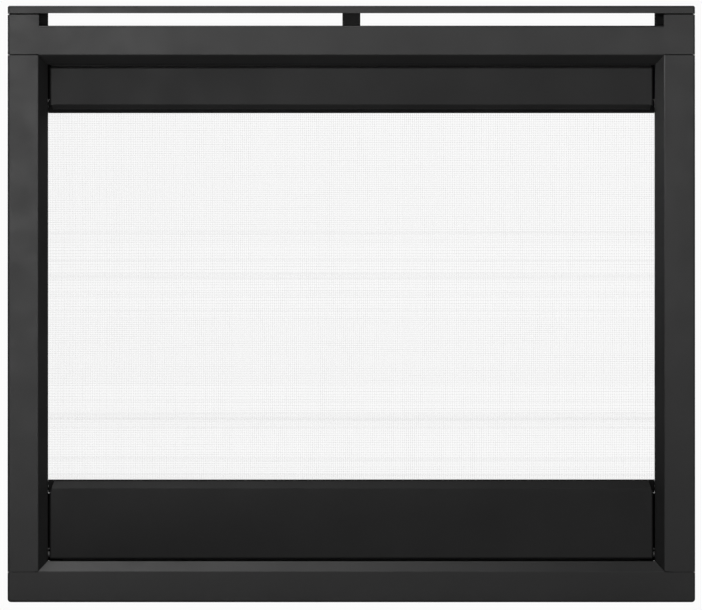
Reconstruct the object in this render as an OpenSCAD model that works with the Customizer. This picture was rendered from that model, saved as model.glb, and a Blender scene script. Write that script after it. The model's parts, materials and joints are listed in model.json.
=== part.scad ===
// Front for a gas fireplace: a folded steel frame with a vent slot, a fine mesh screen, a fixed
// upper panel and a lower panel that drops open on two pins to reach the controls.
// X runs right, Y runs back and Z runs up. The origin is at the middle of the base of the box.

/* [Overall] */
// Width over the outer side flanges
overall_w = 1035; // [900:5:1200]
// Height from the base to the top of the cap
overall_h = 898; // [820:2:1000]
// Depth from the frame's face to its rear lips
frame_d = 60; // [60:1:75]
// Thickness of the folded sheet
sheet_t = 1.5; // [1.2:0.1:1.8]
// Outer radius of the folds
fold_r = 3; // [2.4:0.1:3.4]
// Width of the lips turned inward at the rear
rear_lip_w = 12; // [11.5:0.5:14]

/* [Frame faces] */
// Height of the cap's front lip
cap_h = 11.2; // [9:0.1:14]
// Height of the cap's rear lip
cap_rear_h = 9; // [7:0.5:11]
// Height of the vent slot below the cap
vent_h = 18.7; // [12:0.1:26]
// Height of the top rail's face below the vent slot
top_rail_h = 44.3; // [36:0.1:60]
// Height of the bottom rail's face
bottom_rail_h = 46.2; // [40:0.2:60]
// Width of each stile's face
stile_w = 46; // [44:0.5:60]
// Radius of the bottom rail's lower corners
corner_r = 5; // [4:0.5:8]
// Seam between the cap and the top rail's ears
cap_seam = 2.4; // [0.8:0.1:3]
// Seam between the top rail and the stiles
top_seam = 1.6; // [0.4:0.1:2]
// Seam between the bottom rail and the stiles
bottom_seam = 0.6; // [0.3:0.1:2]

/* [Bevel] */
// Front-view width of the bevel at the sides and the top
bevel_w = 14.5; // [12:0.5:20]
// Front-view height of the bevel at the bottom
low_bevel_h = 16; // [13:0.5:22]
// Depth of the bevel
bevel_d = 15; // [12:0.5:16]
// Depth of the rear face of the landing flange behind the bevel
landing_d = 30; // [29.5:0.1:30.4]
// Width of the landing flange
landing_w = 14; // [12:0.5:14.5]
// Depth of the ledge along the vent slot
ledge_d = 20; // [16:1:23]
// Height of the sill's upstand behind the lower panel
upstand_h = 20; // [12:1:30]
// Depth of the sill behind the frame's face
sill_d = 40; // [38.5:0.5:44]

/* [Inner frame] */
// Depth of the front faces of the crossbars
bar_d = 32.5; // [32.2:0.1:34]
// Height of the crossbar flanges
bar_h = 20; // [16:1:26]
// Depth of the rear faces of the flanges that carry the mesh
screen_d = 53.5; // [52:0.5:54]
// Width of the side channels' rear flanges
channel_flange_w = 24; // [20:1:28]
// Width of the post in the middle of the vent slot
post_w = 27; // [16:1:40]
// Depth of the post's front face
post_d = 6; // [4:0.5:10]

/* [Panels] */
// Gap above the upper panel and below the lower panel
panel_gap = 3.1; // [2.8:0.1:4.5]
// Gap beside both panels
side_gap = 2.6; // [2.2:0.1:4]
// Depth of the panels' faces behind the inner edge of the bevel
panel_step = 1; // [0.5:0.1:2]
// Height of the upper panel's face
upper_face_h = 57.3; // [44:0.1:90]
// Height of the upper panel's lower slope
upper_slope_h = 6.3; // [4:0.1:9]
// Depth of the upper panel's lower slope
upper_slope_d = 8; // [6:0.5:10]
// Height of the crossbar that shows below the upper panel
upper_reveal_h = 5.4; // [2:0.1:8]
// Height of the lower panel's face
lower_face_h = 106.2; // [90:0.2:150]
// Height of the lower panel's top slope
lower_slope_h = 11.3; // [8:0.1:14]
// Depth of the lower panel's top slope
lower_slope_d = 11; // [8:0.5:12]
// Height of the crossbar that shows above the lower panel
lower_reveal_h = 2.1; // [1:0.1:5]
// Distance that the slopes' ends draw in
slope_taper = 4; // [2:0.5:8]
// Depth of the lower panel's bottom flange
low_flange_d = 10.5; // [8:0.5:11]

/* [Stops and pivots] */
// Depth of the front faces of the stops behind the panels
stop_d = 36; // [35:0.5:37]
// Width of the stops
stop_w = 22; // [20:1:30]
// Length of the stops' legs on the side channels
stop_leg = 15.5; // [12:0.5:15.5]
// Radius of the pivot pins
pivot_r = 2.5; // [2:0.1:3]
// Distance of the pivot axis behind the lower panel's face and above its bottom edge
pivot_in = 7; // [6.8:0.1:8]
// Radius of the stop pins
stop_pin_r = 2; // [1.5:0.1:2.2]
// Radius of the arc that the stop pins run in
stop_arc_r = 8; // [7.6:0.1:8.4]
// Opening angle of the lower panel
open_angle = 90; // [60:1:90]
// Radial clearance of a pin that something turns on
pivot_clear = 0.08; // [0.04:0.01:0.1]

/* [Magnet catches] */
// Width of a magnet catch
catch_w = 13; // [10:0.5:14]
// Height of a magnet catch
catch_h = 34; // [24:1:44]
// Height of the catches' middle above the pivots
catch_up = 70; // [50:1:72]
// Thickness of the strike plates
strike_t = 1; // [0.8:0.1:1.5]

/* [Mesh] */
// Number of gaps across the net
net_columns = 22; // [12:1:23]
// Number of gaps up the net
net_rows = 13; // [8:1:13]
// Thickness of the net's wires
wire_t = 1.2; // [0.8:0.1:2]
// Distance that the net reaches behind the flanges
net_lap = 17; // [14:1:18]
// Thickness of the strips that clamp the net
strip_t = 1.5; // [1:0.1:2]

/* [Hangers] */
// Distance that the hooks reach behind the rear lips
hook_out = 14; // [12:1:20]
// Thickness of the hanger plates
hanger_t = 2.5; // [2:0.1:3]
// Length of each hanger plate
hanger_h = 150; // [130:5:200]
// Height of the hangers' middle as a distance below the top
hanger_down = 260; // [220:5:320]
// Width of the mouth of each hook
hook_mouth = 6; // [5:0.5:7]

/* [Hidden] */
$fn = 48;

// Steps in each fold's arc
fold_steps = 6;
// Gap between flat faces that are fitted edge to edge
edge_gap = 0.3;
// Gap between a panel's edge and the stop behind it
seat_gap = 0.3;
// Radial clearance of a fixed fastener in its hole
hole_clear = 0.1;
// Length that a cutting shape runs past what it cuts
past = 1;

// Sizes across
outer_x = overall_w / 2;
face_x = outer_x - stile_w;
clear_x = face_x - bevel_w;
panel_x = clear_x - side_gap;
inner_side_x = outer_x - sheet_t;
lip_x = outer_x - rear_lip_w;

// Heights
cap_z = overall_h - cap_h;
ledge_z = cap_z - vent_h;
rail_z = ledge_z - top_rail_h;
opening_top_z = rail_z - bevel_w;
opening_low_z = bottom_rail_h + low_bevel_h;
bevel_angle = atan(bevel_d / bevel_w);
low_bevel_angle = atan(bevel_d / low_bevel_h);
top_ear_z = rail_z + fold_r * tan(bevel_angle / 2);
low_ear_z = bottom_rail_h - fold_r * tan(low_bevel_angle / 2);
ear_top_z = cap_z - cap_seam;
under_cap_z = overall_h - sheet_t;
upper_top_z = opening_top_z - panel_gap;
upper_face_z = upper_top_z - upper_face_h;
upper_low_z = upper_face_z - upper_slope_h;
screen_top_z = upper_low_z - upper_reveal_h;
lower_low_z = opening_low_z + panel_gap;
lower_face_z = lower_low_z + lower_face_h;
lower_top_z = lower_face_z + lower_slope_h;
screen_low_z = lower_top_z + lower_reveal_h;

// Depths
total_d = frame_d + hook_out;
panel_y = bevel_d + panel_step;
panel_rear_y = stop_d - seat_gap;

// Pivots and the stop pins above them
pivot_y = panel_y + pivot_in;
pivot_z = lower_low_z + pivot_in;
pin_reach = 5;
stop_pin_reach = 1;
pin_head_r = 3.9;
stop_head_r = stop_pin_r + 1;
pin_head_t = 1.5;
bush_r = 5;
clip_r = 4.5;
clip_t = 1.2;
flange_in_x = panel_x - sheet_t;
bore_r = pivot_r + pivot_clear;
slot_clear = 0.25;
turn_r = panel_rear_y - pivot_y;

// Rivets and screws
rivet_r = 1.6;
rivet_head_r = 3.2;
rivet_top_r = 1.9;
rivet_head_t = 1;
screw_r = 2;
screw_head_r = 3.6;
screw_top_r = 2.9;
screw_head_t = 2.4;
screw_end = 4;

// Plates behind the seams
plate_lap = 12;
plate_inset = 2;

// Crossbars and stops
bar_x = clear_x - edge_gap;
tab_in = 3;
stop_in_x = clear_x - stop_w;
upper_stop_low_z = screen_top_z + bar_h + edge_gap;
upper_stop_top_z = opening_top_z + landing_w;
door_stop_low_z = opening_low_z + edge_gap;
door_stop_top_z = screen_low_z - bar_h - edge_gap;
bar_rivet_z = bar_h / 2;
bar_rivet_gap = 8;
bar_mid_y = (bar_d + screen_d) / 2;
stop_rivet_y = stop_d + stop_leg / 2 + sheet_t;
stop_rivet_in = 14;
door_rivet_up = 36;

// Landing flange joint
landing_hole_in = 8.4;
channel_rivet_x = clear_x + landing_hole_in;
channel_rivet_n = 6;
channel_rivet_end = 60;
landing_screw_z = opening_top_z + landing_hole_in;
landing_screws = [-2, -1, 0, 1, 2];
landing_screw_step = 0.435 * clear_x;

// Net and its strips
net_x = clear_x + net_lap;
net_low_z = screen_low_z - net_lap;
net_top_z = screen_top_z + net_lap;
net_step_x = 2 * net_x / net_columns;
net_step_z = (net_top_z - net_low_z) / net_rows;
strip_w = net_lap - 2;
strip_in_x = net_x - strip_w;
strip_y = screen_d + wire_t;
net_screw_y = strip_y + strip_t;
side_screw_rows = [1, 4, 8, net_rows - 2];
end_screw_columns = [2, 7, net_columns - 8, net_columns - 3];

// Magnet catches
catch_z = pivot_z + catch_up;
catch_side_gap = 2;
catch_x = flange_in_x - catch_side_gap - catch_w / 2;
catch_wall = 2;
catch_floor = 3;
magnet_face_y = panel_y + sheet_t + strike_t + seat_gap;
magnet_proud = 1.2;
catch_front_y = magnet_face_y + magnet_proud;
catch_screw_up = catch_h / 2 - 5;
catch_screw_l = 8;
catch_hole_l = 9;
magnet_h = catch_h - 20;

// Hangers
hanger_z = overall_h - hanger_down;
hanger_plate_x = lip_x - edge_gap;
lip_front_y = frame_d - sheet_t;
hanger_flange_x = inner_side_x - 2;
hook_w = 4.5;
hook_arm_h = 13;
hook_drop = 11;
hook_offset = hanger_h / 2 - 34;
stud_r = 2.5;
stud_l = 13;
washer_t = 1;
washer_r = 4.2;
stud_x = hanger_plate_x + washer_r + 2 * edge_gap;
stud_offset = hanger_h / 2 - 18;
stud_slot_l = 16;
nut_r = 4.2;
nut_t = 4;

// Fixing holes in the rear lips
fixing_r = 2.2;
fixing_x = lip_x + fixing_r + 2;
fixing_low_z = 180;
fixing_top_down = 158;

// Corner brackets
bracket_t = 2;
bracket_leg = 32;
bracket_drop = 108;
bracket_rise = 90;
bracket_front_y = 12;
bracket_w = 32;

// Colours
coat = "#2b2b2d";
inner_coat = "#1b1b1c";
zinc = "#a9abac";
dark_steel = "#4a4b4d";
nylon = "#d9d6cc";

// The direction from one point to another
function heading(a, b) = (b - a) / norm(b - a);

// A direction turned to its left
function left_of(d) = [-d[1], d[0]];

// A direction turned by an angle
function turned(d, a) = [d[0] * cos(a) - d[1] * sin(a), d[0] * sin(a) + d[1] * cos(a)];

// The signed angle that a path turns through at one of its points
function turn_at(path, i) =
    let (a = heading(path[i - 1], path[i]), b = heading(path[i], path[i + 1]))
    atan2(a[0] * b[1] - a[1] * b[0], a * b);

// One side of a folded strip: the path moved left by a distance, with an arc at each fold
function strip_side(path, off, t, r) =
    let (last = len(path) - 1)
    [
        path[0] + off * left_of(heading(path[0], path[1])),
        for (i = [1 : last - 1])
            let (
                d = heading(path[i - 1], path[i]),
                turn = turn_at(path, i),
                side = sign(turn),
                path_r = side > 0 ? r : r - t,
                centre = path[i] - d * path_r * tan(abs(turn) / 2) + side * path_r * left_of(d)
            )
            for (k = [0 : fold_steps])
                centre - side * (path_r - side * off) * left_of(turned(d, turn * k / fold_steps)),
        path[last] + off * left_of(heading(path[last - 1], path[last]))
    ];

function reversed(list) = [for (i = [len(list) - 1 : -1 : 0]) list[i]];

// The right half of an outline with its mirror image
function both_halves(half) = concat(half, reversed([for (p = half) [-p[0], p[1]]]));

// Section of a strip of sheet that lies on the left of its path
module folded(path, t = sheet_t, r = fold_r) {
    polygon(concat(strip_side(path, 0, t, r), reversed(strip_side(path, t, t, r))));
}

// A section in Y and Z run along X, to the same distance on both sides
module along_x(half_length) {
    rotate([90, 0, 90])
        linear_extrude(2 * half_length, center = true)
            children();
}

// A front-view outline run back from one depth to another
module along_y(from_y, to_y) {
    translate([0, to_y, 0])
        rotate([90, 0, 0])
            linear_extrude(to_y - from_y)
                children();
}

// A plan section run up from one height to another
module along_z(from_z, to_z) {
    translate([0, 0, from_z])
        linear_extrude(to_z - from_z)
            children();
}

// Two welded folds that meet in the lower right corner of a tray
module tray_corner(x, z, r, from_y, to_y) {
    translate([x - r, 0, z + r])
        rotate([-90, 0, 0])
            rotate_extrude(angle = 90)
                folded([[0, from_y], [r, from_y], [r, to_y]]);
}

// A cylinder along X between two places, at a depth and a height
module rod_x(r, x0, x1, y, z) {
    translate([x0, y, z])
        rotate([0, 90, 0])
            cylinder(r = r, h = x1 - x0);
}

// A cylinder along Y between two depths
module rod_y(r, y0, y1, x, z) {
    translate([x, y0, z])
        rotate([-90, 0, 0])
            cylinder(r = r, h = y1 - y0);
}

// A rivet along Z that closes a stack of the given thickness, from its base up
module rivet(stack) {
    cylinder(r = rivet_r, h = stack);
    translate([0, 0, stack])
        cylinder(r1 = rivet_head_r, r2 = rivet_top_r, h = rivet_head_t);
    mirror([0, 0, 1])
        cylinder(r1 = rivet_head_r, r2 = rivet_top_r, h = rivet_head_t);
}

// A screw whose head lies above the origin and whose shank goes down
module screw(shank) {
    cylinder(r1 = screw_head_r, r2 = screw_top_r, h = screw_head_t);
    translate([0, 0, -shank])
        cylinder(r = screw_r, h = shank);
}

module left_of_middle() {
    mirror([1, 0, 0])
        children();
}

module both_sides() {
    children();
    left_of_middle()
        children();
}

// Moves what is modelled from the frame's face to the middle of the depth
module placed() {
    translate([0, -total_d / 2, 0])
        children();
}

// Cap: a tray with its lips down, which closes the top of the frame
module top_cap() {
    color(coat) {
        along_x(outer_x - fold_r)
            folded([
                [frame_d, overall_h - cap_rear_h], [frame_d, overall_h], [0, overall_h], [0, cap_z]
            ]);
        both_sides() {
            translate([0, frame_d, 0])
                rotate([90, 0, 0])
                    linear_extrude(frame_d - fold_r)
                        folded([[outer_x, cap_z], [outer_x, overall_h], [lip_x, overall_h]]);
            translate([outer_x - fold_r, fold_r, 0])
                rotate([0, 0, -90])
                    rotate_extrude(angle = 90)
                        folded([[fold_r, cap_z], [fold_r, overall_h], [0, overall_h]]);
        }
    }
}

// Top rail: ledge, face, bevel, return and landing flange, with an ear up each end
module top_rail() {
    color(coat) {
        difference() {
            intersection() {
                along_x(face_x)
                    folded([
                        [ledge_d, ledge_z], [0, ledge_z], [0, rail_z], [bevel_d, opening_top_z],
                        [landing_d, opening_top_z], [landing_d, opening_top_z + landing_w]
                    ]);
                along_y(-past, frame_d)
                    polygon(both_halves([
                        [face_x, ledge_z + past], [face_x, rail_z], [clear_x, opening_top_z],
                        [clear_x, opening_top_z - past]
                    ]));
            }
            landing_screw_holes();
        }
        both_sides()
            along_z(top_ear_z, ear_top_z)
                folded([[face_x - past, 0], [outer_x, 0], [outer_x, frame_d], [lip_x, frame_d]]);
    }
}

module landing_screw_holes() {
    for (k = landing_screws)
        rod_y(screw_r + hole_clear, landing_d - sheet_t - past, landing_d + sheet_t + past,
            k * landing_screw_step, landing_screw_z);
}

// Places along the landing flange where a rivet holds the side channel
function channel_rivet_z(k) =
    let (low_z = opening_low_z + channel_rivet_end, high_z = opening_top_z - channel_rivet_end)
    low_z + k * (high_z - low_z) / (channel_rivet_n - 1);

module channel_rivet_holes() {
    for (k = [0 : channel_rivet_n - 1])
        rod_y(rivet_r + hole_clear, landing_d - sheet_t - past, landing_d + sheet_t + past,
            channel_rivet_x, channel_rivet_z(k));
}

// Right stile: landing flange, return, bevel, face, side flange and rear lip
module stile() {
    color(coat)
        difference() {
            intersection() {
                along_z(low_ear_z + bottom_seam, top_ear_z - top_seam)
                    folded([
                        [clear_x + landing_w, landing_d], [clear_x, landing_d],
                        [clear_x, bevel_d], [face_x, 0], [outer_x, 0],
                        [outer_x, frame_d], [lip_x, frame_d]
                    ]);
                along_y(-past, frame_d + past)
                    polygon([
                        [clear_x - past, opening_low_z + edge_gap],
                        [clear_x, opening_low_z + edge_gap],
                        [face_x, bottom_rail_h + edge_gap],
                        [outer_x + past, bottom_rail_h - fold_r],
                        [outer_x + past, rail_z + fold_r],
                        [face_x, rail_z - edge_gap],
                        [clear_x, opening_top_z - edge_gap],
                        [clear_x - past, opening_top_z - edge_gap]
                    ]);
            }
            channel_rivet_holes();
            for (z = [fixing_low_z, overall_h - fixing_top_down])
                rod_y(fixing_r, lip_front_y - past, frame_d + past, fixing_x, z);
            rod_x(pivot_r + hole_clear, clear_x - past, clear_x + sheet_t + past, pivot_y, pivot_z);
            rod_x(stop_pin_r + hole_clear, clear_x - past, clear_x + sheet_t + past,
                pivot_y, pivot_z + stop_arc_r);
        }
}

module left_stile() {
    left_of_middle()
        stile();
}

module right_stile() {
    stile();
}

// Bottom rail: sill with its upstand, bevel, face, base and rear lip, with ears up its ends
module bottom_rail() {
    color(coat) {
        difference() {
            intersection() {
                along_x(outer_x - corner_r)
                    folded([
                        [sill_d, opening_low_z + upstand_h], [sill_d, opening_low_z],
                        [bevel_d, opening_low_z], [0, bottom_rail_h], [0, 0],
                        [frame_d, 0], [frame_d, rear_lip_w]
                    ]);
                along_y(-past, frame_d + past)
                    polygon(both_halves([
                        [outer_x, -past], [outer_x, low_ear_z], [face_x, low_ear_z],
                        [face_x, bottom_rail_h], [clear_x, opening_low_z],
                        [clear_x - sheet_t - edge_gap, opening_low_z],
                        [clear_x - sheet_t - edge_gap, opening_low_z + upstand_h + past]
                    ]));
            }
            both_sides()
                translate([bar_x, landing_d - edge_gap, low_ear_z])
                    cube([stile_w, sill_d, opening_low_z]);
        }
        both_sides() {
            along_z(corner_r, low_ear_z)
                folded([[face_x, 0], [outer_x, 0], [outer_x, frame_d], [lip_x, frame_d]]);
            tray_corner(outer_x, 0, corner_r, 0, frame_d);
        }
    }
}

// Plates welded behind the seams of the frame's faces, which join the pieces at each seam
module seam_plates() {
    color(inner_coat)
        both_sides() {
            seam_plate(low_ear_z - plate_lap, low_ear_z + plate_lap);
            seam_plate(top_ear_z - plate_lap, top_ear_z + plate_lap);
            seam_plate(ear_top_z - plate_lap, cap_z + cap_h / 2);
        }
}

module seam_plate(low_z, top_z) {
    translate([face_x + plate_inset, sheet_t, low_z])
        cube([stile_w - plate_inset - fold_r, sheet_t, top_z - low_z]);
}

// Right side channel, from the base to the cap behind the landing flange
module side_channel() {
    color(inner_coat)
        difference() {
            along_z(sheet_t, under_cap_z)
                folded([
                    [clear_x + channel_flange_w, screen_d], [clear_x, screen_d],
                    [clear_x, landing_d], [clear_x + landing_w, landing_d]
                ]);
            channel_rivet_holes();
            bar_rivet_places()
                cylinder(r = rivet_r + hole_clear, h = 4 * sheet_t, center = true);
            stop_rivet_places()
                cylinder(r = rivet_r + hole_clear, h = 4 * sheet_t, center = true);
            for (row = side_screw_rows)
                rod_y(screw_r + hole_clear, screen_d - sheet_t - past, screen_d + past,
                    net_x - strip_w / 2, net_low_z + (row + 0.5) * net_step_z);
        }
}

module left_side_channel() {
    left_of_middle()
        side_channel();
}

module right_side_channel() {
    side_channel();
}

// Post between the ledge and the cap
module vent_post() {
    color(inner_coat)
        along_z(ledge_z, under_cap_z)
            folded([
                [-post_w / 2, ledge_d], [-post_w / 2, post_d],
                [post_w / 2, post_d], [post_w / 2, ledge_d]
            ]);
}

// A crossbar's section, from the mesh opening upward, with a tab at each end
module crossbar() {
    difference() {
        union() {
            along_x(bar_x)
                folded([[bar_d, bar_h], [bar_d, 0], [screen_d, 0], [screen_d, bar_h]]);
            both_sides()
                translate([bar_x - sheet_t, bar_d + tab_in, 0])
                    cube([sheet_t, screen_d - bar_d - 2 * tab_in, bar_h - tab_in]);
        }
        both_sides()
            for (dy = [-1, 1])
                rod_x(rivet_r + hole_clear, bar_x - sheet_t - past, bar_x + past,
                    bar_mid_y + dy * bar_rivet_gap / 2, bar_rivet_z);
        for (column = end_screw_columns)
            rod_y(screw_r + hole_clear, screen_d - sheet_t - past, screen_d + past,
                (column + 0.5) * net_step_x - net_x, net_lap - strip_w / 2);
    }
}

module upper_crossbar() {
    color(inner_coat)
        translate([0, 0, screen_top_z])
            crossbar();
}

module lower_crossbar() {
    color(inner_coat)
        translate([0, 0, screen_low_z])
            mirror([0, 0, 1])
                crossbar();
}

// Right-hand places of the rivets through the side channel's web into the crossbars' tabs
module bar_rivet_places() {
    for (z = [screen_top_z + bar_rivet_z, screen_low_z - bar_rivet_z])
        for (dy = [-1, 1])
            translate([clear_x, bar_mid_y + dy * bar_rivet_gap / 2, z])
                rotate([0, 90, 0])
                    children();
}

// Right-hand places of the rivets that hold the stops on the side channel's web
module stop_rivet_places() {
    for (z = [
        door_stop_low_z + door_rivet_up, door_stop_top_z - stop_rivet_in,
        upper_stop_low_z + stop_rivet_in, upper_stop_top_z - stop_rivet_in
    ])
        translate([clear_x, stop_rivet_y, z])
            rotate([0, 90, 0])
                children();
}

// Right corner bracket with its legs along a side flange and along the base or the cap
module bracket(rise) {
    translate([inner_side_x, bracket_front_y + bracket_w, 0])
        rotate([90, 0, 0])
            linear_extrude(bracket_w)
                folded([[-bracket_leg, 0], [0, 0], [0, rise]], bracket_t, corner_r);
}

module corner_bracket_top_right() {
    color(dark_steel)
        translate([0, 0, under_cap_z])
            mirror([0, 0, 1])
                bracket(bracket_drop);
}

module corner_bracket_top_left() {
    left_of_middle()
        corner_bracket_top_right();
}

module corner_bracket_bottom_right() {
    color(dark_steel)
        translate([0, 0, sheet_t])
            bracket(bracket_rise);
}

module corner_bracket_bottom_left() {
    left_of_middle()
        corner_bracket_bottom_right();
}

// Upper panel: a tray hung by a flange behind the landing flange, with a slope below
module upper_panel() {
    color(coat)
        difference() {
            union() {
                intersection() {
                    along_x(panel_x)
                        folded([
                            [landing_d, opening_top_z + landing_w], [landing_d, upper_top_z],
                            [panel_y, upper_top_z], [panel_y, upper_face_z],
                            [panel_y + upper_slope_d, upper_low_z], [bar_d - seat_gap, upper_low_z]
                        ]);
                    along_y(0, bar_d)
                        polygon(both_halves([
                            [panel_x - fold_r, opening_top_z + landing_w + past],
                            [panel_x - fold_r, upper_face_z],
                            [panel_x - fold_r - slope_taper / 2, upper_low_z - past]
                        ]));
                }
                both_sides() {
                    along_z(upper_face_z, upper_top_z - fold_r)
                        folded([
                            [panel_x - 2 * fold_r, panel_y], [panel_x, panel_y], [panel_x, panel_rear_y]
                        ]);
                    translate([0, 0, upper_top_z])
                        mirror([0, 0, 1])
                            tray_corner(panel_x, 0, fold_r, panel_y, landing_d);
                }
            }
            landing_screw_holes();
            bar_notch(upper_face_z - past, upper_stop_low_z + past);
        }
}

// Room for a crossbar behind both ends of a panel
module bar_notch(low_z, top_z) {
    both_sides()
        translate([flange_in_x - past, bar_d - seat_gap, low_z])
            cube([stile_w, stop_d, top_z - low_z]);
}

module upper_panel_screws() {
    color(zinc)
        for (k = landing_screws)
            translate([k * landing_screw_step, landing_d + sheet_t, landing_screw_z])
                rotate([-90, 0, 0])
                    screw(2 * sheet_t + screw_end);
}

// Right stop: an angle whose leg lies on the side channel's web
module stop_angle(low_z, top_z) {
    difference() {
        along_z(low_z, top_z)
            folded([[stop_in_x, stop_d], [clear_x, stop_d], [clear_x, stop_d + stop_leg]]);
        stop_rivet_places()
            cylinder(r = rivet_r + hole_clear, h = 4 * sheet_t, center = true);
        catch_screw_places()
            cylinder(r = screw_r + hole_clear, h = 4 * sheet_t, center = true);
    }
}

module upper_stop_right() {
    color(inner_coat)
        stop_angle(upper_stop_low_z, upper_stop_top_z);
}

module upper_stop_left() {
    left_of_middle()
        upper_stop_right();
}

module door_stop_right() {
    color(inner_coat)
        stop_angle(door_stop_low_z, door_stop_top_z);
}

module door_stop_left() {
    left_of_middle()
        door_stop_right();
}

// Net over the opening, with its edges behind the flanges
module mesh_screen() {
    color(dark_steel)
        along_y(screen_d, screen_d + wire_t)
            difference() {
                translate([-net_x, net_low_z])
                    square([2 * net_x, net_top_z - net_low_z]);
                for (i = [0 : net_columns - 1])
                    for (k = [0 : net_rows - 1])
                        translate([-net_x + i * net_step_x, net_low_z + k * net_step_z])
                            translate([wire_t / 2, wire_t / 2])
                                square([net_step_x - wire_t, net_step_z - wire_t]);
            }
}

// Strip across the net, over one of the crossbars
module end_strip(low_z) {
    color(inner_coat)
        difference() {
            along_y(strip_y, net_screw_y)
                translate([edge_gap - strip_in_x, low_z])
                    square([2 * (strip_in_x - edge_gap), strip_w]);
            for (column = end_screw_columns)
                rod_y(screw_r + hole_clear, strip_y - past, net_screw_y + past,
                    (column + 0.5) * net_step_x - net_x, low_z + strip_w / 2);
        }
}

module mesh_strip_top() {
    end_strip(net_top_z - strip_w);
}

module mesh_strip_bottom() {
    end_strip(net_low_z);
}

module mesh_strip_right() {
    color(inner_coat)
        difference() {
            along_y(strip_y, net_screw_y)
                translate([strip_in_x, net_low_z])
                    square([strip_w, net_top_z - net_low_z]);
            for (row = side_screw_rows)
                rod_y(screw_r + hole_clear, strip_y - past, net_screw_y + past,
                    net_x - strip_w / 2, net_low_z + (row + 0.5) * net_step_z);
        }
}

module mesh_strip_left() {
    left_of_middle()
        mesh_strip_right();
}

module mesh_screws() {
    color(zinc) {
        both_sides()
            for (row = side_screw_rows)
                mesh_screw(net_x - strip_w / 2, net_low_z + (row + 0.5) * net_step_z);
        for (column = end_screw_columns)
            for (z = [net_low_z + strip_w / 2, net_top_z - strip_w / 2])
                mesh_screw((column + 0.5) * net_step_x - net_x, z);
    }
}

module mesh_screw(x, z) {
    translate([x, net_screw_y, z])
        rotate([-90, 0, 0])
            screw(net_screw_y - screen_d + sheet_t + screw_end);
}

module channel_rivets() {
    color(zinc)
        both_sides()
            for (k = [0 : channel_rivet_n - 1])
                translate([channel_rivet_x, landing_d - sheet_t, channel_rivet_z(k)])
                    rotate([-90, 0, 0])
                        rivet(2 * sheet_t);
}

module crossbar_rivets() {
    color(zinc)
        both_sides()
            bar_rivet_places()
                translate([0, 0, -edge_gap - sheet_t])
                    rivet(2 * sheet_t + edge_gap);
}

module stop_rivets() {
    color(zinc)
        both_sides()
            stop_rivet_places()
                translate([0, 0, -sheet_t])
                    rivet(2 * sheet_t);
}

// Right pivot pin: its head behind the stile's return, its tip inside the lower panel's flange
module pivot_pin_right() {
    color(zinc) {
        rod_x(pivot_r, flange_in_x - pin_reach, clear_x + sheet_t, pivot_y, pivot_z);
        rod_x(pin_head_r, clear_x + sheet_t, clear_x + sheet_t + pin_head_t, pivot_y, pivot_z);
    }
}

module pivot_pin_left() {
    left_of_middle()
        pivot_pin_right();
}

// Right bush: it keeps the lower panel's flange off the stile
module pivot_bush_right() {
    color(nylon)
        difference() {
            rod_x(bush_r, panel_x + edge_gap, clear_x, pivot_y, pivot_z);
            rod_x(pivot_r + hole_clear, panel_x, clear_x + past, pivot_y, pivot_z);
        }
}

module pivot_bush_left() {
    left_of_middle()
        pivot_bush_right();
}

// Right clip: a ring pressed on the pin inside the flange
module pivot_clip_right() {
    color(zinc)
        difference() {
            rod_x(clip_r, flange_in_x - edge_gap - clip_t, flange_in_x - edge_gap, pivot_y, pivot_z);
            rod_x(pivot_r + hole_clear, flange_in_x - 2 * pin_reach, flange_in_x, pivot_y, pivot_z);
        }
}

module pivot_clip_left() {
    left_of_middle()
        pivot_clip_right();
}

// Right stop pin: it runs in the arc slot of the lower panel's flange
module stop_pin_right() {
    color(zinc) {
        rod_x(stop_pin_r, flange_in_x - stop_pin_reach, clear_x + sheet_t,
            pivot_y, pivot_z + stop_arc_r);
        rod_x(stop_head_r, clear_x + sheet_t, clear_x + sheet_t + pin_head_t,
            pivot_y, pivot_z + stop_arc_r);
    }
}

module stop_pin_left() {
    left_of_middle()
        stop_pin_right();
}

// Right-hand places of the screws through the stop into the catch housing
module catch_screw_places() {
    for (dz = [-catch_screw_up, catch_screw_up])
        translate([catch_x, stop_d + sheet_t, catch_z + dz])
            rotate([-90, 0, 0])
                children();
}

// Right catch housing: a block with a pocket for the magnet
module catch_housing_right() {
    color(nylon)
        difference() {
            translate([catch_x - catch_w / 2, catch_front_y, catch_z - catch_h / 2])
                cube([catch_w, stop_d - catch_front_y, catch_h]);
            translate([
                catch_x - catch_w / 2 + catch_wall, catch_front_y - past, catch_z - magnet_h / 2
            ])
                cube([
                    catch_w - 2 * catch_wall, stop_d - catch_floor - catch_front_y + past, magnet_h
                ]);
            catch_screw_places()
                translate([0, 0, -sheet_t - catch_hole_l])
                    cylinder(r = screw_r + hole_clear, h = catch_hole_l + past);
        }
}

module catch_housing_left() {
    left_of_middle()
        catch_housing_right();
}

module catch_magnet_right() {
    color(dark_steel)
        translate([
            catch_x - catch_w / 2 + catch_wall + edge_gap, magnet_face_y,
            catch_z - magnet_h / 2 + edge_gap
        ])
            cube([
                catch_w - 2 * catch_wall - 2 * edge_gap,
                stop_d - catch_floor - magnet_face_y,
                magnet_h - 2 * edge_gap
            ]);
}

module catch_magnet_left() {
    left_of_middle()
        catch_magnet_right();
}

module catch_screws() {
    color(zinc)
        both_sides()
            catch_screw_places()
                screw(sheet_t + catch_screw_l);
}

// Right-hand places of the studs on the rear lip's inner face, which the hangers slide on
module hanger_stud_places() {
    for (dz = [-stud_offset, stud_offset])
        translate([stud_x, lip_front_y, hanger_z + dz])
            children();
}

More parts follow.
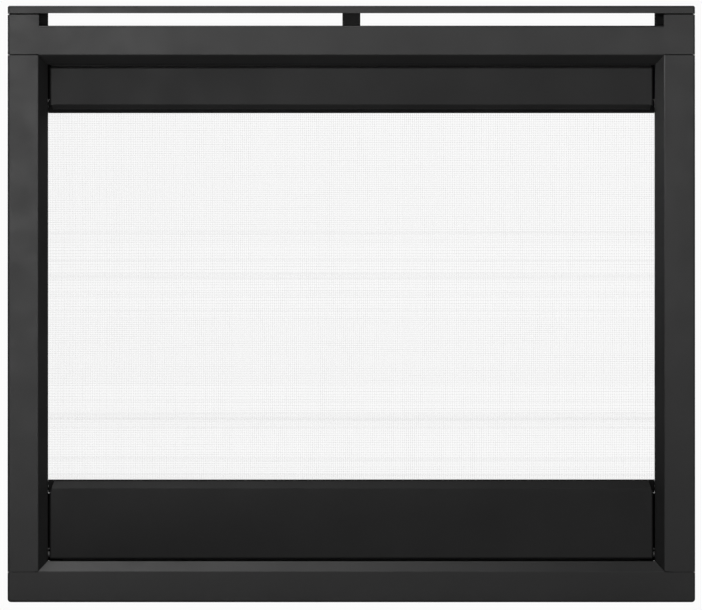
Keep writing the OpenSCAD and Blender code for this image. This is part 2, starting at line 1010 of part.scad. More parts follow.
// Outline of a hook in Y and Z: an arm back from the plate with its tip down
module hook_outline(z) {
    translate([lip_front_y, z])
        polygon([
            [0, 0], [total_d - lip_front_y, 0], [total_d - lip_front_y, -hook_arm_h - hook_drop],
            [total_d - lip_front_y - hook_w, -hook_arm_h - hook_drop],
            [total_d - lip_front_y - hook_w, -hook_arm_h],
            [total_d - lip_front_y - hook_w - hook_mouth, -hook_arm_h],
            [total_d - lip_front_y - hook_w - hook_mouth, -2 * hook_arm_h], [0, -2 * hook_arm_h]
        ]);
}

// Right hanger: a slotted flange on the rear lip's studs and a plate with two hooks
module hanger_right() {
    color(zinc)
        difference() {
            union() {
                translate([hanger_plate_x - hanger_t, 0, 0])
                    rotate([90, 0, 90])
                        linear_extrude(hanger_t) {
                            translate([lip_front_y - hanger_t, hanger_z - hanger_h / 2])
                                square([hanger_t, hanger_h]);
                            for (dz = [-hook_offset, hook_offset])
                                hook_outline(hanger_z + dz + hook_arm_h);
                        }
                translate([hanger_plate_x - hanger_t, lip_front_y - hanger_t, hanger_z - hanger_h / 2])
                    cube([hanger_flange_x - hanger_plate_x + hanger_t, hanger_t, hanger_h]);
            }
            hanger_stud_places() {
                translate([-stud_r - hole_clear, -hanger_t - past, -stud_slot_l / 2])
                    cube([2 * (stud_r + hole_clear), hanger_t + 2 * past, stud_slot_l]);
                for (dz = [-stud_slot_l / 2, stud_slot_l / 2])
                    rod_y(stud_r + hole_clear, -hanger_t - past, past, 0, dz);
            }
        }
}

module hanger_left() {
    left_of_middle()
        hanger_right();
}

module hanger_studs() {
    color(zinc)
        both_sides()
            hanger_stud_places()
                rod_y(stud_r, -stud_l, 0, 0, 0);
}

module hanger_washers() {
    color(zinc)
        both_sides()
            hanger_stud_places()
                difference() {
                    rod_y(washer_r, -hanger_t - washer_t, -hanger_t, 0, 0);
                    rod_y(stud_r + hole_clear, -2 * hanger_t, 0, 0, 0);
                }
}

module hanger_nuts() {
    color(zinc)
        both_sides()
            hanger_stud_places()
                difference() {
                    translate([0, -hanger_t - washer_t, 0])
                        rotate([90, 0, 0])
                            cylinder(r = nut_r, h = nut_t, $fn = 6);
                    rod_y(stud_r + hole_clear, -stud_l, 0, 0, 0);
                }
}

// Lower panel: a tray that turns on the pivot pins, with a slope on top
module lower_panel() {
    color(coat) {
        intersection() {
            along_x(panel_x)
                folded([
                    [bar_d - sheet_t, lower_top_z], [panel_y + lower_slope_d, lower_top_z],
                    [panel_y, lower_face_z], [panel_y, lower_low_z],
                    [panel_y + low_flange_d, lower_low_z]
                ]);
            along_y(0, stop_d)
                polygon(both_halves([
                    [panel_x - fold_r, lower_low_z - past], [panel_x - fold_r, lower_face_z],
                    [panel_x - fold_r - slope_taper, lower_top_z + past]
                ]));
        }
        both_sides() {
            door_flange();
            tray_corner(panel_x, lower_low_z, fold_r, panel_y, panel_y + low_flange_d);
        }
    }
}

// Right flange of the lower panel, with its bore, its arc slot and the corner rounded round the pin
module door_flange() {
    difference() {
        along_z(lower_low_z + fold_r, lower_face_z - fold_r)
            folded([[panel_x - 2 * fold_r, panel_y], [panel_x, panel_y], [panel_x, panel_rear_y]]);
        rod_x(bore_r, flange_in_x - past, panel_x + past, pivot_y, pivot_z);
        arc_slot();
        bar_notch(door_stop_top_z - past, lower_top_z);
        difference() {
            translate([flange_in_x - past, pivot_y, lower_low_z])
                cube([sheet_t + 2 * past, stop_d, pivot_in]);
            rod_x(turn_r, flange_in_x - 2 * past, panel_x + 2 * past, pivot_y, pivot_z);
        }
    }
}

// Slot along an arc about the pivot, from above the pin to behind it
module arc_slot() {
    slot_r = stop_pin_r + slot_clear;
    translate([flange_in_x - past, pivot_y, pivot_z])
        rotate([90, 0, 90]) {
            rotate([0, 0, 90 - open_angle])
                rotate_extrude(angle = open_angle)
                    translate([stop_arc_r - slot_r, 0])
                        square([2 * slot_r, sheet_t + 2 * past]);
            for (a = [90 - open_angle, 90])
                rotate([0, 0, a])
                    translate([stop_arc_r, 0, 0])
                        cylinder(r = slot_r, h = sheet_t + 2 * past);
        }
}

module strike_plate_right() {
    color(zinc)
        translate([catch_x - catch_w / 2, panel_y + sheet_t, catch_z - catch_h / 2])
            cube([catch_w, strike_t, catch_h]);
}

module strike_plate_left() {
    left_of_middle()
        strike_plate_right();
}

placed() top_cap();
placed() top_rail();
placed() left_stile();
placed() right_stile();
placed() bottom_rail();
placed() seam_plates();
placed() left_side_channel();
placed() right_side_channel();
placed() vent_post();
placed() upper_crossbar();
placed() lower_crossbar();
placed() corner_bracket_top_left();
placed() corner_bracket_top_right();
placed() corner_bracket_bottom_left();
placed() corner_bracket_bottom_right();
placed() upper_panel();
placed() upper_panel_screws();
placed() upper_stop_left();
placed() upper_stop_right();
placed() mesh_screen();
placed() mesh_strip_top();
placed() mesh_strip_bottom();
placed() mesh_strip_left();
placed() mesh_strip_right();
placed() mesh_screws();
placed() channel_rivets();
placed() crossbar_rivets();
placed() stop_rivets();
placed() door_stop_left();
placed() door_stop_right();
placed() pivot_pin_left();
placed() pivot_pin_right();
placed() pivot_bush_left();
placed() pivot_bush_right();
placed() pivot_clip_left();
placed() pivot_clip_right();
placed() stop_pin_left();
placed() stop_pin_right();
placed() catch_housing_left();
placed() catch_housing_right();
placed() catch_magnet_left();
placed() catch_magnet_right();
placed() catch_screws();
placed() hanger_left();
placed() hanger_right();
placed() hanger_studs();
placed() hanger_washers();
placed() hanger_nuts();
placed() lower_panel();
placed() strike_plate_left();
placed() strike_plate_right();
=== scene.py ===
"""Looks for the front of a gas fireplace: satin black sheet steel round a fine woven mesh screen."""

import json
import math
import random

import bpy
from mathutils import Matrix, Vector


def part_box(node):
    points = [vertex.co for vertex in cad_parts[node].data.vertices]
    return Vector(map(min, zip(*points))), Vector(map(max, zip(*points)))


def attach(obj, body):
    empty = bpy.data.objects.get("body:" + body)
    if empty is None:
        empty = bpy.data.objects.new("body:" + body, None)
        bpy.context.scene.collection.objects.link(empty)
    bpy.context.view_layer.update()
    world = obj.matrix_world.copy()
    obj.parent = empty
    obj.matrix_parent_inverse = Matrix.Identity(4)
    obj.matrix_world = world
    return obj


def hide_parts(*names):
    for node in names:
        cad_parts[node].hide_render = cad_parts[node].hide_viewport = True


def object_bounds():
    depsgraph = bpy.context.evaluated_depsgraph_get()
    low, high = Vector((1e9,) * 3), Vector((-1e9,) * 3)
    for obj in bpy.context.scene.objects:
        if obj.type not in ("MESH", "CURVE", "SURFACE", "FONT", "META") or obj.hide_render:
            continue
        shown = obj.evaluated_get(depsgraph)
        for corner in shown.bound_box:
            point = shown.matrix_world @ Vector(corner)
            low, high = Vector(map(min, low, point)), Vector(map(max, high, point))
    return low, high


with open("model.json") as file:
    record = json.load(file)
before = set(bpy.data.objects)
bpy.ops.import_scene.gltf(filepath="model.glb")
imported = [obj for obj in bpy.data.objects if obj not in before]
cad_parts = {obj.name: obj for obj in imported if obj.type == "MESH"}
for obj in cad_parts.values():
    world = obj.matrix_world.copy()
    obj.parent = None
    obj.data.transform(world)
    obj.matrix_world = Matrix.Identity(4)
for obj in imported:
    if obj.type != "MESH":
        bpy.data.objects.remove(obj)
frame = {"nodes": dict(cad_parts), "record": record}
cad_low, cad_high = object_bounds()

MM = 0.001

# Points of a mesh that lie closer than this are one point
SAME_POINT = 0.01 * MM
SAME_POINTS_A_METRE = 1e5

# The photograph's frame, and the object's box in it, in pixels
PHOTO_W = 702
PHOTO_H = 610
BOX_LEFT = 7.6
BOX_RIGHT = 695.1
BOX_TOP = 5.8
BOX_BOTTOM = 602.05
CAMERA_DISTANCE = 40.0
CAMERA_REACH = 100
SENSOR = 36.0

# The woven mesh: its wires, how far they sway, and how unevenly they stand, as parts of the pitch
WIRE_D = 0.145 * MM
WIRE_PITCH = 3.0 * MM
WIRE_SIDES = 3
WIRE_SEED = 7
WIRE_GROUP = 2
WIRE_SWAY = 0.5 * MM
WARP_SWAY = (7.1, 0.9, 11.0)
WEFT_SWAY = (5.3, 1.3, 9.0)
WIRE_DRIFT = 0.2
CALM = 0.1
UNREST = 0.55
UNREST_ROWS = ((0.02, 0.3), (0.49, 0.7))

# Small forms on the plates' edges, and the angles between faces that count as an edge
EDGE_ROUND = 0.2 * MM
EDGE_STEPS = 2
EDGE_ANGLE = math.radians(35)
FOLD_FACET = math.radians(25)
NO_EDGE = 3.2

# Fasteners
ROUND_STEPS = 32
NUT_STEPS = 48
DOME_STEPS = 8
FLANGE_STEPS = 5
THREAD_PITCH = 0.8 * MM
THREAD_DEPTH = 0.18 * MM
RINGS_A_TURN = 4
RECESS_ARM = 2.1 * MM
RECESS_HALF_W = 0.55 * MM
RECESS_DEPTH = 1.1 * MM
SCREW_R = 2.0 * MM
SCREW_HEAD_H = 2.4 * MM
SCREW_TURN = 0.7
RIVET_R = 1.6 * MM
RIVET_HEAD_H = 1.0 * MM
NUT_BORE_R = 2.55 * MM

# Brightness of the room round the object and of its wall behind it, and the share of a direction that
# points straight back where the wall begins and where it is full
ROOM = 0.2
WALL = 0.97
WALL_BEGINS = 0.97
WALL_FULL = 0.995

# The floor, with its tone and its reach to each side, to the front and to the back
FLOOR_TONE = 0.55
FLOOR_SIDE = 2.2
FLOOR_FRONT = -1.6
FLOOR_BACK = 1.1

# Lamps: name, place, aim, width, height, power in watts and angle of the beam in degrees
OPEN_BEAM = 180
LAMPS = (
    ("top", (-0.5, -0.6, 2.4), (-0.2, 0, 0.3), 1.4, 0.9, 29, OPEN_BEAM),
    ("front", (0.9, -2.6, 0.9), (0.2, 0, 0.5), 1.6, 1.2, 18.5, OPEN_BEAM),
    ("left", (-0.6, -2.4, 0.9), (-0.3, 0, 0.6), 0.8, 1.2, 3.1, 70),
    ("key", (-2.0, -1.3, 1.15), (0.6, 0, 0.9), 0.4, 0.4, 1.3, 28),
    ("rear_left", (-1.5, 1.5, 1.2), (0, 0, 0.45), 0.9, 0.9, 14, OPEN_BEAM),
    ("rear_right", (1.5, 1.5, 1.2), (0, 0, 0.45), 0.9, 0.9, 14, OPEN_BEAM),
)


# Materials

def node_maker(tree):
    """A function that adds a node to a tree, with values for its inputs and its settings."""
    def add(kind, **values):
        node = tree.nodes.new(kind)
        for key, value in values.items():
            if key in node.inputs:
                node.inputs[key].default_value = value
            else:
                setattr(node, key, value)
        return node
    return add


def new_material(name):
    """A material with its Principled shader, and a function that adds nodes to it."""
    mat = bpy.data.materials.new(name)
    mat.use_nodes = True
    tree = mat.node_tree
    return mat, tree.links, tree.nodes["Principled BSDF"], node_maker(tree)


def grey(level):
    return (level, level, level)


def noise(links, add, coords, scale, detail=3.0, roughness=0.5):
    node = add("ShaderNodeTexNoise", Scale=scale, Detail=detail, Roughness=roughness)
    links.new(coords, node.inputs["Vector"])
    return node.outputs["Fac"]


def spread(links, add, value, low, high, at_low=0.35, at_high=0.65):
    """A texture's middle range laid out between two numbers."""
    node = add("ShaderNodeMapRange")
    node.inputs["From Min"].default_value = at_low
    node.inputs["From Max"].default_value = at_high
    node.inputs["To Min"].default_value = low
    node.inputs["To Max"].default_value = high
    links.new(value, node.inputs["Value"])
    return node.outputs["Result"]


def between(links, add, factor, first, second):
    """A colour between two others."""
    node = add("ShaderNodeMix", data_type="RGBA")
    node.inputs[6].default_value = (*first, 1)
    node.inputs[7].default_value = (*second, 1)
    links.new(factor, node.inputs[0])
    return node.outputs[2]


def raised(links, add, shader, *layers):
    """Bump from several textures, each with its strength and its height in metres."""
    normal = None
    for value, strength, height in layers:
        node = add("ShaderNodeBump", Strength=strength, Distance=height)
        links.new(value, node.inputs["Height"])
        if normal:
            links.new(normal, node.inputs["Normal"])
        normal = node.outputs["Normal"]
    links.new(normal, shader.inputs["Normal"])


def powder_coat(name, dark, light, rough_low, rough_high, specular, peel):
    """Baked coat over sheet steel: a soft tone, patches of gloss and a fine orange peel."""
    mat, links, shader, add = new_material(name)
    coords = add("ShaderNodeTexCoord").outputs["Object"]
    tone = spread(links, add, noise(links, add, coords, scale=6.0, detail=4.0), 0, 1)
    links.new(between(links, add, tone, dark, light), shader.inputs["Base Color"])
    patches = noise(links, add, coords, scale=22.0, detail=5.0, roughness=0.6)
    links.new(spread(links, add, patches, rough_low, rough_high), shader.inputs["Roughness"])
    fine = noise(links, add, coords, scale=1400.0, detail=2.0)
    soft = noise(links, add, coords, scale=260.0, detail=2.0)
    raised(links, add, shader, (soft, 0.5 * peel, 0.05 * MM), (fine, peel, 0.02 * MM))
    shader.inputs["Specular IOR Level"].default_value = specular
    return mat


def zinc_plate(name, dark, light, rough_low, rough_high):
    """Zinc-plated steel: cool and mottled, with faint rolling lines."""
    mat, links, shader, add = new_material(name)
    coords = add("ShaderNodeTexCoord").outputs["Object"]
    stretch = add("ShaderNodeMapping")
    stretch.inputs["Scale"].default_value = (900, 900, 40)
    links.new(coords, stretch.inputs["Vector"])
    lines = noise(links, add, stretch.outputs["Vector"], scale=1.0, detail=2.0)
    mottle = noise(links, add, coords, scale=140.0, detail=5.0, roughness=0.65)
    tone = spread(links, add, mottle, 0, 1)
    links.new(between(links, add, tone, dark, light), shader.inputs["Base Color"])
    links.new(spread(links, add, mottle, rough_low, rough_high), shader.inputs["Roughness"])
    raised(links, add, shader, (lines, 0.15, 0.02 * MM), (mottle, 0.1, 0.02 * MM))
    shader.inputs["Metallic"].default_value = 1.0
    return mat


def moulded_nylon(name, dark, light):
    """Moulded plastic with a fine grain."""
    mat, links, shader, add = new_material(name)
    coords = add("ShaderNodeTexCoord").outputs["Object"]
    tone = spread(links, add, noise(links, add, coords, scale=60.0), 0, 1)
    links.new(between(links, add, tone, dark, light), shader.inputs["Base Color"])
    grain = noise(links, add, coords, scale=2600.0, detail=2.0)
    links.new(spread(links, add, grain, 0.42, 0.56), shader.inputs["Roughness"])
    raised(links, add, shader, (grain, 0.3, 0.02 * MM))
    return mat


def ferrite(name, dark, light):
    """Pressed magnet material: dark, dull and grainy."""
    mat, links, shader, add = new_material(name)
    coords = add("ShaderNodeTexCoord").outputs["Object"]
    grain = noise(links, add, coords, scale=3200.0, detail=4.0, roughness=0.7)
    tone = spread(links, add, grain, 0, 1)
    links.new(between(links, add, tone, dark, light), shader.inputs["Base Color"])
    links.new(spread(links, add, grain, 0.5, 0.75), shader.inputs["Roughness"])
    raised(links, add, shader, (grain, 0.5, 0.04 * MM))
    return mat


FINISHES = {
    "frame_coat": powder_coat(
        "frame_coat", grey(0.005), grey(0.007),
        rough_low=0.33, rough_high=0.40, specular=0.26, peel=0.25),
    "panel_coat": powder_coat(
        "panel_coat", grey(0.010), grey(0.013),
        rough_low=0.36, rough_high=0.44, specular=0.095, peel=0.3),
    "pin_steel": zinc_plate(
        "pin_steel", grey(0.03), grey(0.06), rough_low=0.4, rough_high=0.55),
    "inner_coat": powder_coat(
        "inner_coat", grey(0.005), grey(0.008),
        rough_low=0.55, rough_high=0.68, specular=0.05, peel=0.35),
    "bracket_steel": zinc_plate(
        "bracket_steel", (0.20, 0.20, 0.21), (0.30, 0.30, 0.31), rough_low=0.38, rough_high=0.55),
    "zinc_steel": zinc_plate(
        "zinc_steel", (0.48, 0.49, 0.50), (0.62, 0.63, 0.64), rough_low=0.26, rough_high=0.40),
    "nylon": moulded_nylon("nylon", grey(0.018), grey(0.028)),
    "magnet": ferrite("magnet", (0.035, 0.035, 0.038), (0.09, 0.09, 0.095)),
    "screen_wire": powder_coat(
        "screen_wire", grey(0.016), grey(0.030),
        rough_low=0.45, rough_high=0.6, specular=0.25, peel=0.1),
}


# Mesh helpers

def piece(name, verts, faces, slot, replaces, body="frame", smooth=FOLD_FACET):
    """A piece from points and faces in metres, which stands in the place of some CAD nodes."""
    mesh = bpy.data.meshes.new(name)
    mesh.from_pydata(verts, [], faces)
    mesh.validate()
    mesh.polygons.foreach_set("use_smooth", [True] * len(mesh.polygons))
    mesh.set_sharp_from_angle(angle=smooth)
    mesh.materials.append(FINISHES[slot])
    obj = bpy.data.objects.new(name, mesh)
    bpy.context.scene.collection.objects.link(obj)
    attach(obj, body)
    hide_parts(*replaces)


class Shape:
    """Points and faces of several solids that make one piece."""

    def __init__(self):
        self.verts = []
        self.faces = []

    def add(self, verts, faces, place):
        first = len(self.verts)
        self.verts.extend(place @ Vector(v) for v in verts)
        self.faces.extend([first + i for i in face] for face in faces)


def tube_of_rings(rings):
    """Points and faces of a closed solid from rings of equal length, from one end to the other."""
    steps = len(rings[0])
    verts = [p for ring in rings for p in ring]
    faces = []
    for k in range(len(rings) - 1):
        for i in range(steps):
            j = (i + 1) % steps
            faces.append([k * steps + i, k * steps + j, (k + 1) * steps + j, (k + 1) * steps + i])
    faces.append(list(range(steps))[::-1])
    faces.append([(len(rings) - 1) * steps + i for i in range(steps)])
    return verts, faces


def ring(radius, z, steps=ROUND_STEPS):
    """A ring about the Z axis, whose radius may be a function of the angle."""
    points = []
    for i in range(steps):
        a = 2 * math.pi * i / steps
        r = radius(a) if callable(radius) else radius
        points.append((r * math.cos(a), r * math.sin(a), z))
    return points


def solids(node):
    """Boxes of a CAD node's separate solids, found from the points that its faces share."""
    mesh = frame["nodes"][node].data
    places = {}
    at = []
    for v in mesh.vertices:
        key = tuple(round(c * SAME_POINTS_A_METRE) for c in v.co)
        at.append(places.setdefault(key, len(places)))
    parent = list(range(len(places)))

    def root(i):
        while parent[i] != i:
            parent[i] = parent[parent[i]]
            i = parent[i]
        return i

    for polygon in mesh.polygons:
        ends = [root(at[i]) for i in polygon.vertices]
        for end in ends[1:]:
            parent[root(end)] = root(ends[0])
    groups = {}
    for v, i in zip(mesh.vertices, at):
        groups.setdefault(root(i), []).append(v.co)
    boxes = []
    for points in groups.values():
        low = Vector([min(p[k] for p in points) for k in range(3)])
        high = Vector([max(p[k] for p in points) for k in range(3)])
        boxes.append((low, high))
    return sorted(boxes, key=lambda box: tuple(box[0]))


# Fasteners

def recess_depth(x, y):
    """Depth of a cross recess at a point of a screw's head."""
    def arm(along, across):
        side = max(0.0, 1 - (abs(across) / RECESS_HALF_W) ** 6)
        end = max(0.0, 1 - abs(along) / RECESS_ARM)
        return side * min(1.0, 2.2 * end)
    return RECESS_DEPTH * max(arm(x, y), arm(y, x))


def pan_screw(head_r, head_h, shank_r, shank_l):
    """A screw with a domed head, a cross recess and a rolled thread, its head above the origin."""
    rings = []
    tip = 1.2 * shank_r
    turns = (shank_l - tip) / THREAD_PITCH
    rings.append(ring(0.25 * shank_r, -shank_l))
    count = int(turns * RINGS_A_TURN)
    for k in range(count + 1):
        z = -shank_l + tip + k * THREAD_PITCH / RINGS_A_TURN

        def thread(a, z=z):
            phase = (a / (2 * math.pi) - z / THREAD_PITCH) % 1
            return shank_r - THREAD_DEPTH * abs(2 * phase - 1)
        rings.append(ring(thread, z))
    rings.append(ring(shank_r, 0))
    rings.append(ring(head_r * 0.96, 0))
    rings.append(ring(head_r, 0.06 * head_r))
    for k in range(1, DOME_STEPS):
        r = head_r * (1 - k / DOME_STEPS)
        rise = head_h * math.sqrt(max(0.0, 1 - (r / head_r) ** 3.2))
        points = [(x, y, rise - recess_depth(x, y)) for x, y, _ in ring(r, 0)]
        rings.append(points)
    return tube_of_rings(rings)


def blind_rivet(shank_r, head_r, head_h, stack):
    """A blind rivet: a domed flange with its drawn stem below it, and the set barrel beyond."""
    stem_r = 0.55 * shank_r
    rings = [
        ring(stem_r, -stack - head_h),
        ring(1.25 * shank_r, -stack - 0.9 * head_h),
        ring(1.45 * shank_r, -stack - 0.5 * head_h),
        ring(1.4 * shank_r, -stack),
        ring(shank_r, -stack),
        ring(shank_r, 0),
        ring(0.97 * head_r, 0),
        ring(head_r, 0.15 * head_h),
    ]
    for k in range(1, FLANGE_STEPS + 1):
        r = head_r + (stem_r - head_r) * k / FLANGE_STEPS
        rings.append(ring(r, head_h * (1 - 0.75 * ((r - stem_r) / (head_r - stem_r)) ** 2)))
    rings.append(ring(0.95 * stem_r, 0.35 * head_h))
    return tube_of_rings(rings)


def hex_nut(corner_r, height, bore):
    """A nut with chamfered corners and a threaded bore."""
    steps = NUT_STEPS
    apothem = corner_r * math.cos(math.pi / 6)

    def hexagon(a):
        return apothem / math.cos((a + math.pi / 6) % (math.pi / 3) - math.pi / 6)

    def cut(limit):
        return lambda a: min(hexagon(a), limit)

    rings = [
        ring(bore, 0, steps), ring(0.93 * apothem, 0, steps), ring(cut(apothem), 0.04 * height, steps),
        ring(hexagon, 0.16 * height, steps), ring(hexagon, 0.84 * height, steps),
        ring(cut(apothem), 0.96 * height, steps), ring(0.93 * apothem, height, steps),
        ring(bore + THREAD_DEPTH, height, steps),
    ]
    turns = int(height / THREAD_PITCH * RINGS_A_TURN)
    for k in range(turns + 1):
        z = height * (1 - k / turns)

        def thread(a, z=z):
            phase = (a / (2 * math.pi) - z / THREAD_PITCH) % 1
            return bore + THREAD_DEPTH * abs(2 * phase - 1)
        rings.append(ring(thread, z, steps))
    verts = [p for points in rings for p in points]
    faces = []
    for k in range(len(rings)):
        after = (k + 1) % len(rings)
        for i in range(steps):
            j = (i + 1) % steps
            faces.append([k * steps + i, k * steps + j, after * steps + j, after * steps + i])
    return verts, faces


def facing(axis):
    """Turns a shape built along Z to another axis."""
    return Vector((0, 0, 1)).rotation_difference(Vector(axis)).to_matrix().to_4x4()


def screws(node, slot):
    """Puts a screw with a recess and a thread in the place of each of a node's plain ones."""
    shape = Shape()
    for low, high in solids(node):
        middle = (low + high) / 2
        head_r = (high.x - low.x) / 2
        head_y = high.y - SCREW_HEAD_H
        body = pan_screw(head_r, SCREW_HEAD_H, SCREW_R, head_y - low.y)
        turn = Matrix.Rotation(SCREW_TURN * len(shape.verts), 4, "Z")
        shape.add(*body, Matrix.Translation((middle.x, head_y, middle.z)) @ facing((0, 1, 0)) @ turn)
    piece(node + "_dressed", shape.verts, shape.faces, slot, [node])


def rivets(node, slot, axis):
    """Puts a blind rivet in the place of each of a node's plain ones."""
    shape = Shape()
    for low, high in solids(node):
        middle = (low + high) / 2
        side = 1 if middle.x > 0 else -1
        along = Vector(axis) * (side if axis[0] else 1)
        size = high - low
        length = abs(size.dot(Vector(axis)))
        head_r = max(size.x, size.z) / 2 if axis[1] else size.z / 2
        stack = length - 2 * RIVET_HEAD_H
        body = blind_rivet(RIVET_R, head_r, RIVET_HEAD_H, stack)
        start = middle + along * stack / 2
        shape.add(*body, Matrix.Translation(start) @ facing(along))
    piece(node + "_dressed", shape.verts, shape.faces, slot, [node])


def nuts(node, slot):
    """Puts a chamfered and threaded nut in the place of each of a node's plain ones."""
    shape = Shape()
    for low, high in solids(node):
        middle = (low + high) / 2
        body = hex_nut((high.x - low.x) / 2, high.y - low.y, NUT_BORE_R)
        turn = Matrix.Rotation(math.pi / 6, 4, "Z")
        shape.add(*body, Matrix.Translation((middle.x, low.y, middle.z)) @ facing((0, 1, 0)) @ turn)
    piece(node + "_dressed", shape.verts, shape.faces, slot, [node])


screws("upper_panel_screws", "zinc_steel")
screws("mesh_screws", "zinc_steel")
screws("catch_screws", "zinc_steel")
rivets("channel_rivets", "zinc_steel", (0, 1, 0))
rivets("crossbar_rivets", "zinc_steel", (-1, 0, 0))
rivets("stop_rivets", "zinc_steel", (-1, 0, 0))
nuts("hanger_nuts", "zinc_steel")


# The woven mesh

def wires(numbers, knots, place):
    """Three-sided wires that pass over and under the others at every crossing."""
    verts = []
    faces = []
    for i in numbers:
        first = len(verts)
        for k in range(knots):
            weave = 1 if (i + k) % 2 else -1
            centre, across = place(i, k, weave)
            for s in range(WIRE_SIDES):
                a = 2 * math.pi * (s + 0.5) / WIRE_SIDES
                offset = across * math.cos(a) + Vector((0, 1, 0)) * math.sin(a)
                verts.append(centre + offset * WIRE_D / 2)
        for k in range(knots - 1):
            for s in range(WIRE_SIDES):
                t = (s + 1) % WIRE_SIDES
                a = first + k * WIRE_SIDES
                b = a + WIRE_SIDES
                faces.append([a + s, a + t, b + t, b + s])
        faces.append([first + s for s in range(WIRE_SIDES)][::-1])
        end = first + (knots - 1) * WIRE_SIDES
        faces.append([end + s for s in range(WIRE_SIDES)])
    return verts, faces


def wire_places(low, high, unrest, chance):
    """Places of the wires across the mesh, in small groups that stand closer or wider."""
    count = round((high - low) / WIRE_PITCH)
    gaps = []
    for i in range(count + 1):
        at = i / count
        if i % WIRE_GROUP == 0:
            level = chance.uniform(-1, 1)
        gaps.append(1 + WIRE_DRIFT * (2 * at - 1) + unrest(at) * level)
    scale = (high - low) / sum(gaps)
    places = []
    for gap in gaps[:-1]:
        low += gap * scale
        places.append(low)
    return places


def sway(waves, along, wire):
    """How far a wire stands aside at a share of its length, for a wire at a share of the mesh."""
    turns, shift, turns_across = waves
    return WIRE_SWAY * math.sin(turns * along + shift * math.sin(turns_across * wire))


def woven_mesh():
    """The fine mesh, as the uprights of each half and the crosswise wires of each half."""
    low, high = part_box("mesh_screen")
    middle_y = (low.y + high.y) / 2
    swing = WIRE_D / 2
    chance = random.Random(WIRE_SEED)
    columns = wire_places(low.x, high.x, lambda at: CALM, chance)
    rows = wire_places(
        low.z, high.z,
        lambda at: UNREST if any(start < at < end for start, end in UNREST_ROWS) else CALM, chance)
    knots_x = [low.x, *columns, high.x]
    knots_z = [low.z, *rows, high.z]

    def warp(i, k, weave):
        aside = sway(WARP_SWAY, k / len(rows), i / len(columns))
        return Vector((columns[i] + aside, middle_y + weave * swing, knots_z[k])), Vector((1, 0, 0))

    def weft(i, k, weave):
        aside = sway(WEFT_SWAY, k / len(columns), i / len(rows))
        return Vector((knots_x[k], middle_y - weave * swing, rows[i] + aside)), Vector((0, 0, 1))

    half_x = len(columns) // 2
    half_z = len(rows) // 2
    for name, numbers, knots, place in (
        ("mesh_warp_left", range(half_x), knots_z, warp),
        ("mesh_warp_right", range(half_x, len(columns)), knots_z, warp),
        ("mesh_weft_low", range(half_z), knots_x, weft),
        ("mesh_weft_top", range(half_z, len(rows)), knots_x, weft),
    ):
        body = wires(numbers, len(knots), place)
        piece(name, *body, "screen_wire", ["mesh_screen"], smooth=NO_EDGE)


woven_mesh()


# Finishes of the CAD nodes

def dress_nodes():
    """Gives every CAD node its finish, and rounds the edges of its sheet."""
    slot_of = {row["node"]: row["material_slot"] for row in frame["record"]["subparts"]}
    for name, obj in frame["nodes"].items():
        slot = slot_of[name]
        obj.data.materials.clear()
        obj.data.materials.append(FINISHES[slot])
        weld = obj.modifiers.new("join_points", "WELD")
        weld.merge_threshold = SAME_POINT
        rounding = obj.modifiers.new("edges", "BEVEL")
        rounding.width = EDGE_ROUND
        rounding.segments = EDGE_STEPS
        rounding.limit_method = "ANGLE"
        rounding.angle_limit = EDGE_ANGLE
        rounding.use_clamp_overlap = True
        rounding.harden_normals = True
        obj.data.polygons.foreach_set("use_smooth", [True] * len(obj.data.polygons))
        shading = obj.modifiers.new("shading", "WEIGHTED_NORMAL")
        shading.keep_sharp = True


dress_nodes()


# Stage, lights and camera

def floor():
    """A plain pale floor at the height of the object's underside."""
    mat, _, shader, _ = new_material("floor")
    shader.inputs["Base Color"].default_value = (*grey(FLOOR_TONE), 1)
    shader.inputs["Roughness"].default_value = 0.9
    shader.inputs["Specular IOR Level"].default_value = 0.1
    z = cad_low.z
    corners = [
        (-FLOOR_SIDE, FLOOR_FRONT, z), (FLOOR_SIDE, FLOOR_FRONT, z),
        (FLOOR_SIDE, FLOOR_BACK, z), (-FLOOR_SIDE, FLOOR_BACK, z),
    ]
    mesh = bpy.data.meshes.new("floor")
    mesh.from_pydata(corners, [], [[0, 1, 2, 3]])
    mesh.materials.append(mat)
    obj = bpy.data.objects.new("floor", mesh)
    bpy.context.scene.collection.objects.link(obj)


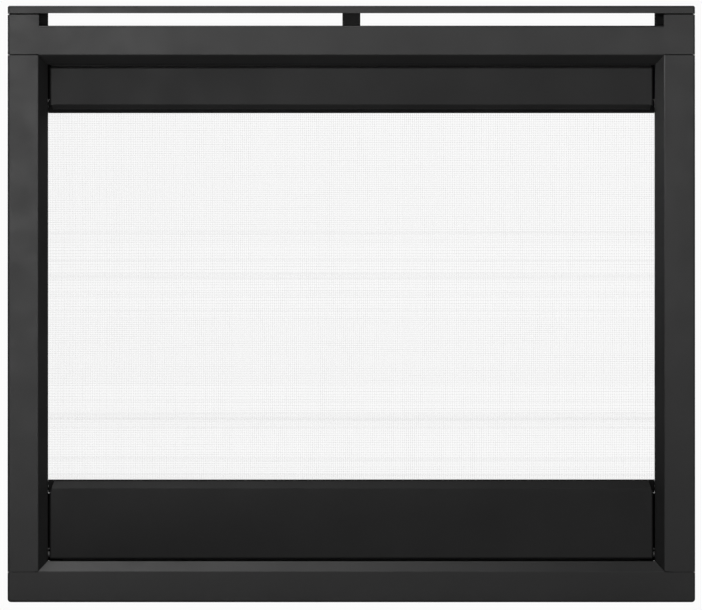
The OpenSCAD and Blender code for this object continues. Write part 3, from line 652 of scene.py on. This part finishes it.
def studio():
    """A room that is white behind the object and grey in front of it and beside it."""
    world = bpy.data.worlds.new("studio")
    bpy.context.scene.world = world
    world.use_nodes = True
    tree = world.node_tree
    links = tree.links
    add = node_maker(tree)
    direction = add("ShaderNodeTexCoord")
    parts = add("ShaderNodeSeparateXYZ")
    links.new(direction.outputs["Generated"], parts.inputs["Vector"])
    behind = spread(links, add, parts.outputs["Y"], 0, 1, WALL_BEGINS, WALL_FULL)
    colour = between(links, add, behind, grey(ROOM), grey(WALL))
    links.new(colour, tree.nodes["Background"].inputs["Color"])


def soft_light(name, place, aim, width, height, power, beam):
    """A rectangular lamp that looks at a point."""
    data = bpy.data.lights.new(name, "AREA")
    data.shape = "RECTANGLE"
    data.size = width
    data.size_y = height
    data.energy = power
    data.spread = math.radians(beam)
    obj = bpy.data.objects.new(name, data)
    obj.location = place
    obj.rotation_mode = "QUATERNION"
    obj.rotation_quaternion = (Vector(aim) - Vector(place)).to_track_quat("-Z", "Y")
    bpy.context.scene.collection.objects.link(obj)


def camera():
    """A camera far away at the floor's height, to which the floor shows only as its edge."""
    size = cad_high - cad_low
    middle = (cad_low + cad_high) / 2
    pixel = size.x / (BOX_RIGHT - BOX_LEFT)
    data = bpy.data.cameras.new("camera")
    data.sensor_width = SENSOR
    data.lens = SENSOR * CAMERA_DISTANCE / (PHOTO_W * pixel)
    data.clip_end = CAMERA_REACH
    obj = bpy.data.objects.new("camera", data)
    aim_x = middle.x - ((BOX_LEFT + BOX_RIGHT) / 2 - PHOTO_W / 2) * pixel
    aim_z = middle.z + ((BOX_TOP + BOX_BOTTOM) / 2 - PHOTO_H / 2) * pixel
    obj.location = (aim_x, cad_low.y - CAMERA_DISTANCE, cad_low.z)
    rise = math.atan2(aim_z - cad_low.z, CAMERA_DISTANCE)
    obj.rotation_euler = (math.radians(90) + rise, 0, 0)
    bpy.context.scene.collection.objects.link(obj)
    bpy.context.scene.camera = obj


floor()
studio()
for lamp in LAMPS:
    soft_light(*lamp)
camera()
bpy.context.scene.view_settings.view_transform = "Standard"
